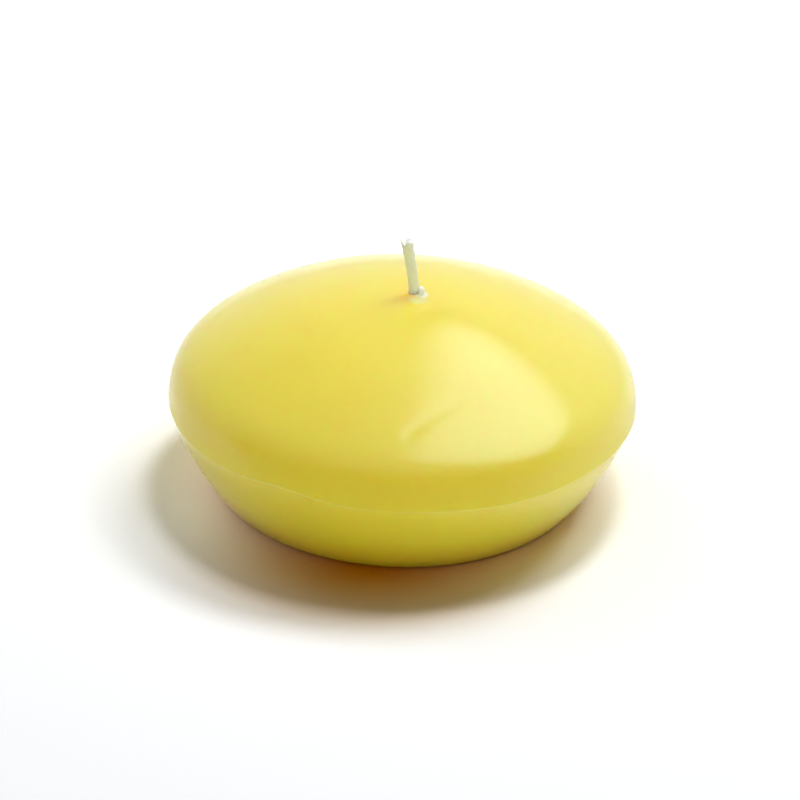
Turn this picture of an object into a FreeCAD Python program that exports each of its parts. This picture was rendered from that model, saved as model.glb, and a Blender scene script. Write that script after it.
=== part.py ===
# Floating candle: a domed disc of yellow wax with a braided wick, held by a steel tab let into the base.
# Millimetres, +Z up. The origin is at the middle of the base, on the surface that the candle stands on.
# The wick stands a little off the middle and leans in the plane y = 0.
import FreeCAD, Part
import Sketcher
import math
import os

V = FreeCAD.Vector

# The driving dimensions, in millimetres and degrees
sizes = {
    # the wax: crown, shoulder, rim, flank and base
    "candle_diameter": 101.6,
    "rim_height": 20.6,
    "dome_rise": 24.6,
    "shoulder_radius": 12.4,
    "rim_land": 1.0,
    "rim_draft": 0.15,
    "parting_step": 0.3,
    "foot_diameter": 78.0,
    "bevel_inset": 0.9,
    "bevel_height": 0.7,
    # the raised lip and the bead of wax at the foot of the wick
    "lip_height": 0.6,
    "lip_width": 0.35,
    "lip_spread": 1.7,
    "lip_sink": 0.35,
    "bead_bearing": -40.0,
    "bead_seat": 0.3,
    "bead_lift": 0.5,
    "bead_radius": 0.9,
    # the wick
    "wick_diameter": 2.37,
    "wick_offset": 1.9,
    "wick_clearance": 0.15,
    "bend_depth": 1.7,
    "bend_radius": 42.0,
    "bend_angle": 10.3,
    "wick_reach": 12.3,
    "tip_slant": 30.0,
    "notch_offset": 0.45,
    "notch_width": 0.8,
    "notch_depth": 1.2,
    # the steel tab that holds the wick, and its recess
    "tab_diameter": 20.0,
    "tab_sheet": 0.3,
    "tab_setback": 0.4,
    "tab_clearance": 0.3,
    "neck_height": 6.0,
    "neck_bend": 0.5,
    "neck_grip": 0.04,
}

doc = FreeCAD.newDocument("floating_candle")
sheet = doc.addObject("Spreadsheet::Sheet", "Sizes")
for row, (alias, number) in enumerate(sizes.items(), start=1):
    sheet.set(f"A{row}", alias)
    sheet.set(f"B{row}", str(number))
    sheet.setAlias(f"B{row}", alias)
doc.recompute()

# Lengths that several pieces share, written once
RIM_RADIUS = "(Sizes.candle_diameter / 2)"
APEX = "(Sizes.rim_height + Sizes.dome_rise)"
BORE_RADIUS = "(Sizes.wick_diameter / 2 + Sizes.wick_clearance)"
NECK_INNER = "(Sizes.wick_diameter / 2 + Sizes.neck_grip)"
NECK_OUTER = "(Sizes.wick_diameter / 2 + Sizes.neck_grip + Sizes.tab_sheet)"
RECESS_DEPTH = "(Sizes.tab_setback + Sizes.tab_sheet)"


def new_body(name):
    """A body whose label names its file."""
    body = doc.addObject("PartDesign::Body", name)
    body.Label = name
    return body


def lay_on(feature, body, role):
    """Attaches a sketch or solid to one of the body's origin planes."""
    plane = [p for p in body.Origin.OriginFeatures if p.Role == role][0]
    feature.AttachmentSupport = (plane, "")
    feature.MapMode = "FlatFace"


def new_sketch(body, name, role):
    """An empty sketch on one of the body's origin planes."""
    sketch = body.newObject("Sketcher::SketchObject", name)
    lay_on(sketch, body, role)
    return sketch


def line(sketch, start, end):
    """A straight line between two (across, up) points."""
    return sketch.addGeometry(Part.LineSegment(V(*start, 0), V(*end, 0)), False)


def arc(sketch, centre, radius, first, last):
    """An arc drawn anticlockwise from one angle to the other, in radians."""
    circle = Part.Circle(V(*centre, 0), V(0, 0, 1), radius)
    return sketch.addGeometry(Part.ArcOfCircle(circle, first, last), False)


def tie(sketch, kind, *where):
    """A constraint without a size."""
    sketch.addConstraint(Sketcher.Constraint(kind, *where))


def bind(sketch, name, formula, kind, *where):
    """A constraint whose size follows the sheet."""
    start = float(sketch.evalExpression(formula))
    if kind == "Angle":
        start = math.radians(start)
    index = sketch.addConstraint(Sketcher.Constraint(kind, *where, start))
    sketch.renameConstraint(index, name)
    sketch.setExpression("Constraints." + name, formula)


def join_ends(sketch, curves, tangent=()):
    """Ties each curve's end to the next one's start, smoothly where the curve is in tangent."""
    for curve, following in zip(curves, curves[1:] + curves[:1]):
        kind = "Tangent" if curve in tangent else "Coincident"
        tie(sketch, kind, curve, 2, following, 1)


def finish(body, feature):
    """Makes a feature the body's result and works it out."""
    body.Tip = feature
    doc.recompute()
    return feature


def spin(body, name, profile):
    """Turns a sketch once round its own upright axis."""
    turned = body.newObject("PartDesign::Revolution", name)
    turned.Profile = profile
    turned.ReferenceAxis = (profile, ["V_Axis"])
    turned.Angle = 360.0
    return finish(body, turned)


def round_hole(body, name, radius, depth=None):
    """A round hole about the wick's axis, cut upward from the base, right through or to a depth."""
    sketch = new_sketch(body, name + "_circle", "XY_Plane")
    sketch.setExpression("AttachmentOffset.Base.x", "Sizes.wick_offset")
    ring = sketch.addGeometry(Part.Circle(V(0, 0, 0), V(0, 0, 1), sizes["wick_diameter"]), False)
    tie(sketch, "Coincident", ring, 3, -1, 1)
    bind(sketch, "radius", radius, "Radius", ring)
    hole = body.newObject("PartDesign::Pocket", name)
    hole.Profile = sketch
    hole.Reversed = True
    if depth is None:
        hole.Type = "ThroughAll"
    else:
        hole.Type = "Length"
        hole.setExpression("Length", depth)
    return finish(body, hole)


def wax_profile(body):
    """Half the section of the wax: base, bevel, flank, ledge and land at the rim, shoulder and crown."""
    rim = sizes["candle_diameter"] / 2
    level = sizes["rim_height"]
    rise = sizes["dome_rise"]
    shoulder = sizes["shoulder_radius"]
    foot = sizes["foot_diameter"] / 2
    inset = sizes["bevel_inset"]
    low = sizes["bevel_height"]
    land_foot = (rim - sizes["rim_draft"], level - sizes["rim_land"])
    flank_top = (land_foot[0] - sizes["parting_step"], land_foot[1])

    # the crown's arc is centred on the axis and runs smoothly into the shoulder's
    crown = ((rim - shoulder) ** 2 + rise ** 2 - shoulder ** 2) / (2 * (rise - shoulder))
    meet = math.atan2(crown - rise, rim - shoulder)

    # the flank's arc is centred on the axis too
    up = (flank_top[0] ** 2 + flank_top[1] ** 2 - foot ** 2) / (2 * flank_top[1])
    bow = math.hypot(foot, up)
    high = math.atan2(flank_top[1] - up, flank_top[0])

    # the bevel ends on the flank
    bevel_end = (math.sqrt(bow ** 2 - (up - low) ** 2), low)

    sketch = new_sketch(body, "wax_profile", "XZ_Plane")
    base = line(sketch, (0, 0), (foot - inset, 0))
    bevel = line(sketch, (foot - inset, 0), bevel_end)
    flank = arc(sketch, (0, up), bow, math.atan2(low - up, bevel_end[0]), high)
    ledge = line(sketch, flank_top, land_foot)
    land = line(sketch, land_foot, (rim, level))
    turn = arc(sketch, (rim - shoulder, level), shoulder, 0, meet)
    top = arc(sketch, (0, level + rise - crown), crown, meet, math.pi / 2)
    axis = line(sketch, (0, level + rise), (0, 0))
    corner = sketch.addGeometry(Part.Point(V(foot, 0, 0)), True)
    join_ends(sketch, [base, bevel, flank, ledge, land, turn, top, axis], tangent=[turn])
    tie(sketch, "PointOnObject", corner, 1, -1)
    tie(sketch, "PointOnObject", corner, 1, flank)
    tie(sketch, "Coincident", base, 1, -1, 1)
    tie(sketch, "Horizontal", base)
    tie(sketch, "Horizontal", ledge)
    tie(sketch, "Vertical", axis)
    tie(sketch, "PointOnObject", flank, 3, -2)
    tie(sketch, "PointOnObject", top, 3, -2)
    tie(sketch, "Horizontal", turn, 3, turn, 1)
    bind(sketch, "foot_radius", "Sizes.foot_diameter / 2", "DistanceX", -1, 1, corner, 1)
    bind(sketch, "bevel_inset", "Sizes.bevel_inset", "DistanceX", base, 2, corner, 1)
    bind(sketch, "bevel_height", "Sizes.bevel_height", "DistanceY", bevel, 1, bevel, 2)
    bind(sketch, "parting_step", "Sizes.parting_step", "DistanceX", ledge, 1, ledge, 2)
    bind(sketch, "rim_draft", "Sizes.rim_draft", "DistanceX", land, 1, land, 2)
    bind(sketch, "rim_land", "Sizes.rim_land", "DistanceY", land, 1, land, 2)
    bind(sketch, "rim_radius", RIM_RADIUS, "DistanceX", -1, 1, turn, 1)
    bind(sketch, "rim_height", "Sizes.rim_height", "DistanceY", -1, 1, turn, 1)
    bind(sketch, "shoulder_radius", "Sizes.shoulder_radius", "Radius", turn)
    bind(sketch, "apex_height", APEX, "DistanceY", -1, 1, axis, 1)
    return sketch


def lip_profile(body):
    """Half the section of the wax that climbs the wick, about the wick's own axis."""
    apex = sizes["rim_height"] + sizes["dome_rise"]
    core = sizes["wick_diameter"] / 4
    outer = sizes["wick_diameter"] / 2 + sizes["wick_clearance"] + sizes["lip_width"]
    skirt = outer + sizes["lip_spread"]
    crest = apex + sizes["lip_height"]
    root = apex - sizes["lip_sink"]

    sketch = new_sketch(body, "lip_profile", "XZ_Plane")
    sketch.setExpression("AttachmentOffset.Base.x", "Sizes.wick_offset")
    slope = line(sketch, (outer, crest), (skirt, root))
    under = line(sketch, (skirt, root), (core, root))
    inside = line(sketch, (core, root), (core, crest))
    rim = line(sketch, (core, crest), (outer, crest))
    join_ends(sketch, [slope, under, inside, rim])
    tie(sketch, "Horizontal", under)
    tie(sketch, "Vertical", inside)
    tie(sketch, "Horizontal", rim)
    bind(sketch, "core_radius", "Sizes.wick_diameter / 4", "DistanceX", -1, 1, rim, 1)
    bind(sketch, "crest_radius", BORE_RADIUS + " + Sizes.lip_width", "DistanceX", -1, 1, rim, 2)
    bind(sketch, "spread", "Sizes.lip_spread", "DistanceX", slope, 1, slope, 2)
    bind(sketch, "crest_height", APEX + " + Sizes.lip_height", "DistanceY", -1, 1, rim, 2)
    bind(sketch, "root_height", APEX + " - Sizes.lip_sink", "DistanceY", -1, 1, under, 1)
    return sketch


def make_wax():
    """The wax, with the lip and bead at the wick, its bore and the recess for the tab."""
    body = new_body("wax_body")
    spin(body, "dome_and_flank", wax_profile(body))
    spin(body, "wick_lip", lip_profile(body))

    bead = body.newObject("PartDesign::AdditiveSphere", "wax_bead")
    lay_on(bead, body, "XY_Plane")
    reach = "(Sizes.wick_diameter / 2 + Sizes.bead_seat)"
    bead.setExpression("Radius", "Sizes.bead_radius")
    bead.setExpression("AttachmentOffset.Base.x", f"Sizes.wick_offset + {reach} * cos(Sizes.bead_bearing * 1 deg)")
    bead.setExpression("AttachmentOffset.Base.y", f"{reach} * sin(Sizes.bead_bearing * 1 deg)")
    bead.setExpression("AttachmentOffset.Base.z", APEX + " + Sizes.bead_lift")
    finish(body, bead)

    round_hole(body, "wick_bore", BORE_RADIUS)
    neck_hole = NECK_OUTER + " + Sizes.neck_bend + Sizes.wick_clearance"
    neck_depth = RECESS_DEPTH + " + Sizes.neck_height + Sizes.tab_clearance"
    round_hole(body, "neck_bore", neck_hole, neck_depth)
    round_hole(body, "tab_recess", "Sizes.tab_diameter / 2 + Sizes.tab_clearance", RECESS_DEPTH)
    return body


def wick_spine(body):
    """The wick's middle line in its own frame: straight up through the wax, a gentle bend, a lean."""
    straight = sizes["rim_height"] + sizes["dome_rise"] - sizes["bend_depth"] - sizes["tab_setback"]
    radius = sizes["bend_radius"]
    angle = math.radians(sizes["bend_angle"])
    bend_end = (radius * (math.cos(angle) - 1), straight + radius * math.sin(angle))
    rest = sizes["bend_depth"] + sizes["wick_reach"] + sizes["wick_diameter"] - radius * math.sin(angle)
    end = (bend_end[0] - rest * math.tan(angle), bend_end[1] + rest)

    sketch = new_sketch(body, "wick_spine", "XZ_Plane")
    run = line(sketch, (0, 0), (0, straight))
    bend = arc(sketch, (-radius, straight), radius, 0, angle)
    lean = line(sketch, bend_end, end)
    tie(sketch, "Coincident", run, 1, -1, 1)
    tie(sketch, "Vertical", run)
    tie(sketch, "Tangent", run, 2, bend, 1)
    tie(sketch, "Tangent", bend, 2, lean, 1)
    buried = APEX + " - Sizes.bend_depth - Sizes.tab_setback"
    whole = APEX + " - Sizes.tab_setback + Sizes.wick_reach + Sizes.wick_diameter"
    bind(sketch, "straight_length", buried, "DistanceY", run, 1, run, 2)
    bind(sketch, "bend_radius", "Sizes.bend_radius", "Radius", bend)
    bind(sketch, "lean_angle", "90 + Sizes.bend_angle", "Angle", lean)
    bind(sketch, "whole_height", whole, "DistanceY", run, 1, lean, 2)
    return sketch


def tip_cut(body):
    """What is cut off the wick's end: everything over a slanting line, and a notch that splits it."""
    half = sizes["wick_diameter"]
    fall = math.tan(math.radians(sizes["tip_slant"]))
    left = -sizes["notch_offset"] - sizes["notch_width"] / 2
    right = -sizes["notch_offset"] + sizes["notch_width"] / 2
    sky = 2 * sizes["wick_diameter"]
    notch = (-sizes["notch_offset"], -sizes["notch_depth"])

    sketch = new_sketch(body, "tip_cut_profile", "XZ_Plane")
    sketch.AttachmentOffset = FreeCAD.Placement(V(0, 0, 0), FreeCAD.Rotation(V(0, 0, 1), sizes["bend_angle"]))
    past_bend = "(Sizes.bend_depth + Sizes.wick_reach - Sizes.bend_radius * sin(Sizes.bend_angle * 1 deg))"
    sideways = ("-Sizes.bend_radius * (1 - cos(Sizes.bend_angle * 1 deg)) - "
                + past_bend + " * tan(Sizes.bend_angle * 1 deg)")
    sketch.setExpression("AttachmentOffset.Rotation.Angle", "Sizes.bend_angle")
    sketch.setExpression("AttachmentOffset.Base.x", sideways)
    sketch.setExpression("AttachmentOffset.Base.y", APEX + " - Sizes.tab_setback + Sizes.wick_reach")

    high_cut = line(sketch, (-half, half * fall), (left, -left * fall))
    notch_in = line(sketch, (left, -left * fall), notch)
    notch_out = line(sketch, notch, (right, -right * fall))
    low_cut = line(sketch, (right, -right * fall), (half, -half * fall))
    outside = line(sketch, (half, -half * fall), (half, sky))
    above = line(sketch, (half, sky), (-half, sky))
    inside = line(sketch, (-half, sky), (-half, half * fall))
    join_ends(sketch, [high_cut, notch_in, notch_out, low_cut, outside, above, inside])
    tie(sketch, "Vertical", outside)
    tie(sketch, "Horizontal", above)
    tie(sketch, "Vertical", inside)
    tie(sketch, "PointOnObject", -1, 1, high_cut)
    tie(sketch, "PointOnObject", -1, 1, low_cut)
    bind(sketch, "half_width", "Sizes.wick_diameter", "DistanceX", inside, 2, -1, 1)
    bind(sketch, "whole_width", "2 * Sizes.wick_diameter", "DistanceX", above, 2, above, 1)
    bind(sketch, "cut_height", "2 * Sizes.wick_diameter", "DistanceY", -1, 1, above, 1)
    bind(sketch, "high_slant", "-Sizes.tip_slant", "Angle", high_cut)
    bind(sketch, "low_slant", "-Sizes.tip_slant", "Angle", low_cut)
    bind(sketch, "notch_side", "Sizes.notch_offset", "DistanceX", notch_in, 2, -1, 1)
    bind(sketch, "notch_deep", "Sizes.notch_depth", "DistanceY", notch_in, 2, -1, 1)
    bind(sketch, "notch_left", "Sizes.notch_width / 2", "DistanceX", notch_in, 1, notch_in, 2)
    bind(sketch, "notch_right", "Sizes.notch_width / 2", "DistanceX", notch_out, 1, notch_out, 2)
    return sketch


def make_wick():
    """The wick, from the underside of the tab to its cut and split tip."""
    body = new_body("wick")
    spine = wick_spine(body)
    section = new_sketch(body, "wick_section", "XY_Plane")
    ring = section.addGeometry(Part.Circle(V(0, 0, 0), V(0, 0, 1), sizes["wick_diameter"] / 2), False)
    tie(section, "Coincident", ring, 3, -1, 1)
    bind(section, "radius", "Sizes.wick_diameter / 2", "Radius", ring)
    cord = body.newObject("PartDesign::AdditivePipe", "wick_cord")
    cord.Profile = section
    cord.Spine = (spine, [])
    finish(body, cord)

    cut = body.newObject("PartDesign::Pocket", "tip_cut")
    cut.Profile = tip_cut(body)
    cut.Type = "Length"
    cut.Midplane = True
    cut.setExpression("Length", "2 * Sizes.wick_diameter")
    finish(body, cut)
    body.setExpression("Placement.Base.x", "Sizes.wick_offset")
    body.setExpression("Placement.Base.z", "Sizes.tab_setback")
    return body


def tab_profile(body):
    """Half the section of the tab: a flat disc drawn up into a neck that grips the wick."""
    inner = sizes["wick_diameter"] / 2 + sizes["neck_grip"]
    plate = sizes["tab_sheet"]
    outer = inner + plate
    bend = sizes["neck_bend"]
    edge = sizes["tab_diameter"] / 2
    crest = plate + sizes["neck_height"]

    # the bend slopes at half a right angle and keeps the sheet's thickness
    under = bend + (2 - math.sqrt(2)) * plate

    sketch = new_sketch(body, "tab_profile", "XZ_Plane")
    under_bend = line(sketch, (inner, under), (inner + under, 0))
    underside = line(sketch, (inner + under, 0), (edge, 0))
    rim = line(sketch, (edge, 0), (edge, plate))
    upper = line(sketch, (edge, plate), (outer + bend, plate))
    over_bend = line(sketch, (outer + bend, plate), (outer, plate + bend))
    neck_out = line(sketch, (outer, plate + bend), (outer, crest))
    neck_top = line(sketch, (outer, crest), (inner, crest))
    neck_in = line(sketch, (inner, crest), (inner, under))
    join_ends(sketch, [under_bend, underside, rim, upper, over_bend, neck_out, neck_top, neck_in])
    tie(sketch, "PointOnObject", rim, 1, -1)
    tie(sketch, "Horizontal", underside)
    tie(sketch, "Vertical", rim)
    tie(sketch, "Horizontal", upper)
    tie(sketch, "Parallel", under_bend, over_bend)
    tie(sketch, "Vertical", neck_out)
    tie(sketch, "Horizontal", neck_top)
    tie(sketch, "Vertical", neck_in)
    bind(sketch, "disc_radius", "Sizes.tab_diameter / 2", "DistanceX", -1, 1, rim, 1)
    bind(sketch, "plate", "Sizes.tab_sheet", "DistanceY", rim, 1, rim, 2)
    bind(sketch, "neck_wall", "Sizes.tab_sheet", "DistanceX", neck_top, 2, neck_top, 1)
    bind(sketch, "neck_inside", NECK_INNER, "DistanceX", -1, 1, neck_top, 2)
    bind(sketch, "bend_width", "Sizes.neck_bend", "DistanceX", over_bend, 2, over_bend, 1)
    bind(sketch, "bend_height", "Sizes.neck_bend", "DistanceY", over_bend, 1, over_bend, 2)
    bind(sketch, "bend_sheet", "Sizes.tab_sheet", "Distance", under_bend, 1, over_bend)
    bind(sketch, "neck_crest", "Sizes.tab_sheet + Sizes.neck_height", "DistanceY", -1, 1, neck_top, 1)
    return sketch


def make_tab():
    """The steel tab, lying in its recess with the wick through its neck."""
    body = new_body("wick_tab")
    spin(body, "disc_and_neck", tab_profile(body))
    body.setExpression("Placement.Base.x", "Sizes.wick_offset")
    body.setExpression("Placement.Base.z", "Sizes.tab_setback")
    return body


bodies = [make_wax(), make_wick(), make_tab()]
doc.recompute()

for item in doc.Objects:
    if "Invalid" in item.State or "Error" in item.State:
        raise RuntimeError(item.Label + " didn't build")
    if item.TypeId == "Sketcher::SketchObject" and not item.FullyConstrained:
        raise RuntimeError(item.Label + " is loose")
for body in bodies:
    if body.Shape.isNull() or not body.Shape.isValid() or len(body.Shape.Solids) != 1:
        raise RuntimeError(body.Label + " isn't one sound solid")

os.makedirs("parts", exist_ok=True)
for body in bodies:
    body.Shape.exportStep("parts/" + body.Label + ".step")
    box = body.Shape.BoundBox
    print(body.Label, round(body.Shape.Volume, 2), [round(v, 3) for v in (box.XMin, box.YMin, box.ZMin)],
          [round(v, 3) for v in (box.XMax, box.YMax, box.ZMax)])
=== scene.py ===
# Floating candle: the finish of the wax, the wick and the tab, with studio light and the photograph's camera.
# Metres, in the frame of the CAD model: +Z up through the dome, -Y towards the camera.
import math
import random

import bpy
import numpy as np
from mathutils import Matrix, Vector, noise


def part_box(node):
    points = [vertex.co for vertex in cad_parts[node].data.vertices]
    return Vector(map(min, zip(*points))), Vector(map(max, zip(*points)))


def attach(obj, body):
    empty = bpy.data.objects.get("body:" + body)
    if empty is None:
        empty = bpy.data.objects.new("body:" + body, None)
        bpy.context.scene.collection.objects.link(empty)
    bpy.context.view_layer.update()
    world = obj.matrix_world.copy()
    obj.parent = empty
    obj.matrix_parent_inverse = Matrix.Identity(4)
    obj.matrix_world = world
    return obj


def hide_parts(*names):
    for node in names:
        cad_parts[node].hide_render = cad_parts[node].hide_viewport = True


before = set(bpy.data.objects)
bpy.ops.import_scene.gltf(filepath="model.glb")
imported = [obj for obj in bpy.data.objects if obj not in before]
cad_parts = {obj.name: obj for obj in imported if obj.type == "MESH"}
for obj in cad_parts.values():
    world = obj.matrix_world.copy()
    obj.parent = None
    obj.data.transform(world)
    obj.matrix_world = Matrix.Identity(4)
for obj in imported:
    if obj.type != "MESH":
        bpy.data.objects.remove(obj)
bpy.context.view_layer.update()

MM = 0.001
TAU = 2 * math.pi

# Sizes read from the frame
wax_low, wax_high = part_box("wax_body")
wick_low, wick_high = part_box("wick")
tab_low, tab_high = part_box("wick_tab")
RIM_RADIUS = (wax_high.x - wax_low.x) / 2
WICK_RADIUS = (wick_high.y - wick_low.y) / 2
WICK_X = (tab_low.x + tab_high.x) / 2
TAB_RADIUS = (tab_high.x - tab_low.x) / 2

# The wax's section: crown, shoulder, edge, land, flank and base
RIM_HEIGHT = 20.6 * MM
DOME_RISE = 24.6 * MM
APEX = RIM_HEIGHT + DOME_RISE
SHOULDER_RADIUS = 12.4 * MM
SHOULDER_BLEND = 5.0 * MM
# Below the shoulder a straight wall leans in as it rises: (lean, length, radius of the bend above it)
SIDE_WALL = (math.radians(4.0), 1.6 * MM, 11.7 * MM)
FRONT_WALL = (math.radians(17.0), 5.7 * MM, 9.45 * MM)
WALL_BLEND = 2.4 * MM
# The side wall turns into the front wall between these angles from the front, in degrees
FRONT_SPREAD = (100.0, 50.0)
RIM_LAND = 0.7 * MM
# The share of the land's width that is left at the front
FRONT_LAND = 0.03
LAND_BULGE = 0.04 * MM
RIM_DRAFT = 0.15 * MM
PARTING_STEP = 0.3 * MM
LEAST_STEP = 0.14 * MM
STEP_DROP = 0.1 * MM
FOOT_RADIUS = 39.0 * MM
FOOT_ROUNDING = 2.0 * MM
# The flank's left side stands out, most of all at the foot
FLANK_SKEW = 0.55 * MM
# The crown stands a little to the left of the rim, by all of it from this height over the rim up
CROWN_SHIFT = 0.10 * MM
SHIFT_RISE = 8.0 * MM
RECESS_DEPTH = 0.7 * MM
RECESS_RADIUS = TAB_RADIUS + 0.3 * MM
RECESS_ROUNDING = 0.25 * MM
NECK_BORE_RADIUS = 2.175 * MM
NECK_BORE_TOP = 7.0 * MM

# The wax mesh: points round each ring, and rows of rings
WAX_SEGMENTS = 320
# Rows over the dome, closest together over the lip and the bead: start and end in mm, number of rows
DOME_ROWS = ((0.05, 0.6, 3), (0.6, 2.9, 35), (2.9, 8.0, 17), (8.0, 40.0, 63))
DOME_END = 40.0 * MM
SIDE_ROWS = 58
LAND_ROWS = 8
FLANK_ROWS = 62
# Over 1, the flank's rows crowd together towards the step
FLANK_CROWDING = 1.25
FOOT_ROWS = 11
BASE_ROWS = 25
# Rows round the recess's rounded edge, across its roof and up the neck's bore
EDGE_ROWS = 4
ROOF_ROWS = 7
BORE_ROWS = 4
CLOSING_RADIUS = 0.05 * MM


def smooth(low, high, value):
    """0 at low, 1 at high, with level ends."""
    t = np.clip((value - low) / (high - low), 0.0, 1.0)
    return t * t * (3 - 2 * t)


def steps(start, end, count):
    """Evenly spaced values after start, up to end."""
    return np.linspace(start, end, count + 1)[1:]


def new_mesh(name, points, faces, uvs=None):
    """A smooth-shaded mesh object; uvs holds one (u, v) for each point."""
    mesh = bpy.data.meshes.new(name)
    mesh.from_pydata([tuple(p) for p in points], [], faces)
    mesh.polygons.foreach_set("use_smooth", [True] * len(mesh.polygons))
    if uvs is not None:
        layer = mesh.uv_layers.new(name="UVMap")
        corner_points = np.zeros(len(mesh.loops), np.int32)
        mesh.loops.foreach_get("vertex_index", corner_points)
        layer.data.foreach_set("uv", np.asarray(uvs, np.float32)[corner_points].ravel())
    mesh.update()
    piece = bpy.data.objects.new(name, mesh)
    bpy.context.scene.collection.objects.link(piece)
    return piece


def inward_rings(rings, around):
    """Quads between rings of points that run from a piece's top to its underside."""
    faces = []
    for k in range(rings - 1):
        here = k * around
        there = here + around
        for i in range(around):
            j = (i + 1) % around
            faces.append((here + i, there + i, there + j, here + j))
    return faces


def upward_rings(rings, around, first=0):
    """Quads between rings of points that run from a piece's bottom to its top, with both ends closed."""
    faces = []
    for k in range(rings - 1):
        here = first + k * around
        there = here + around
        for i in range(around):
            j = (i + 1) % around
            faces.append((here + i, here + j, there + j, there + i))
    last = first + (rings - 1) * around
    faces.append(tuple(first + i for i in reversed(range(around))))
    faces.append(tuple(last + i for i in range(around)))
    return faces


# The camera: it looks at the middle of the wax from the front, down at this angle
VIEW_ELEVATION = math.radians(28.55)
VIEW_ROLL = math.radians(1.65)
# The rim's radius as a share of the camera's distance
VIEW_SHARE = 0.07
VIEW_DISTANCE = RIM_RADIUS / VIEW_SHARE
VIEW_TARGET = Vector((0, 0, 22.0 * MM))
# How far it stands to the right of and above its line to the target
VIEW_SHIFT = (-0.58 * MM, -2.68 * MM)
VIEW_LENS = 150.5


def make_camera():
    """The photograph's camera, turned a little on its own axis."""
    back = Vector((0, -math.cos(VIEW_ELEVATION), math.sin(VIEW_ELEVATION)))
    level_up = Vector((0, math.sin(VIEW_ELEVATION), math.cos(VIEW_ELEVATION)))
    right = Vector((1, 0, 0)) * math.cos(VIEW_ROLL) + level_up * math.sin(VIEW_ROLL)
    up = level_up * math.cos(VIEW_ROLL) - Vector((1, 0, 0)) * math.sin(VIEW_ROLL)
    place = VIEW_TARGET + back * VIEW_DISTANCE + right * VIEW_SHIFT[0] + up * VIEW_SHIFT[1]
    data = bpy.data.cameras.new("camera")
    data.lens = VIEW_LENS
    data.clip_start = 0.01
    data.clip_end = 20.0
    camera = bpy.data.objects.new("camera", data)
    camera.matrix_world = Matrix.Translation(place) @ Matrix((right, up, back)).transposed().to_4x4()
    bpy.context.scene.collection.objects.link(camera)
    bpy.context.scene.camera = camera


make_camera()


# The wax surface

def crown_curve(lean, wall, edge_bend, points=600):
    """The dome's section from the axis to the edge: two arcs and a straight wall that run gently together."""
    inner = RIM_RADIUS - SHOULDER_RADIUS
    crown = (inner ** 2 + DOME_RISE ** 2 - SHOULDER_RADIUS ** 2) / (2 * (DOME_RISE - SHOULDER_RADIUS))
    meet = math.atan2(inner, crown - DOME_RISE)
    steepest = math.pi / 2 - lean
    first = crown * meet
    second = first + edge_bend * (steepest - meet)
    s = np.linspace(0, second + wall, points)
    bend = 1 / crown + (1 / edge_bend - 1 / crown) * smooth(first - SHOULDER_BLEND, first + SHOULDER_BLEND, s)
    bend *= 1 - smooth(second - WALL_BLEND, second + WALL_BLEND, s)
    turn = np.concatenate([[0], np.cumsum((bend[1:] + bend[:-1]) / 2 * np.diff(s))])
    turn *= steepest / turn[-1]
    middle = (turn[1:] + turn[:-1]) / 2
    across = np.concatenate([[0], np.cumsum(np.cos(middle) * np.diff(s))])
    down = np.concatenate([[0], np.cumsum(np.sin(middle) * np.diff(s))])
    return across * RIM_RADIUS / across[-1], APEX - down * DOME_RISE / down[-1]


SIDE_R, SIDE_Z = crown_curve(*SIDE_WALL)
FRONT_R, FRONT_Z = crown_curve(*FRONT_WALL)


def crown_height(radius):
    """Height of the dome over a point this far from its axis."""
    return np.interp(radius, SIDE_R, SIDE_Z)


# The lip where wax climbs the wick, by distance from just inside the wick's side, and the dimple round it
LIP_HEIGHT = 0.16 * MM
LIP_REACH = 0.95 * MM
LIP_INSET = 0.12 * MM
DIMPLE_REACH = 5.0 * MM
DIMPLE_DEPTH = 0.26 * MM
# Lip and dimple are stronger by this share towards this bearing
LIP_LEAN = 0.25
LIP_BEARING = -55.0
# The bead of wax that set against the wick's foot, on the right, its skirt, and the run in front of it
BEAD_X = WICK_X + 1.60 * MM
BEAD_Y = -0.35 * MM
BEAD_RADIUS = 0.86 * MM
BEAD_HEIGHT = 1.75 * MM
# Its width as a share of its length, and the shares of its radius between which its side falls
BEAD_WIDTH = 0.95
BEAD_SIDE = (1.02, 0.80)
SKIRT_HEIGHT = 0.22 * MM
# The skirt's reach as a share of the bead's radius
SKIRT_REACH = 1.5
RUN_X = WICK_X + 0.8 * MM
RUN_Y = -2.4 * MM
RUN_REACH = (1.8 * MM, 2.2 * MM)
RUN_HEIGHT = 0.10 * MM

# Shallow marks in the dome, from one (x, y) to another, with half width and depth, all in mm; a depth below 0
# makes a ridge
FOLDS = (
    ((1.8, -41.3), (12.3, -32.9), 1.5, 0.19),
    ((-15.6, -26.0), (-9.3, -29.4), 1.3, 0.045),
    ((-11.6, -30.6), (-9.9, -30.2), 0.55, -0.05),
)


def fold_depth(x, y):
    """How far the marks sink the dome at (x, y)."""
    sunk = np.zeros_like(x)
    for start, end, width, depth in FOLDS:
        ax, ay = start[0] * MM, start[1] * MM
        bx, by = end[0] * MM, end[1] * MM
        along = ((x - ax) * (bx - ax) + (y - ay) * (by - ay)) / ((bx - ax) ** 2 + (by - ay) ** 2)
        along = np.clip(along, 0, 1)
        away = np.hypot(x - ax - along * (bx - ax), y - ay - along * (by - ay))
        sunk += depth * MM * np.exp(-(away / (width * MM)) ** 2)
    return sunk


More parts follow.
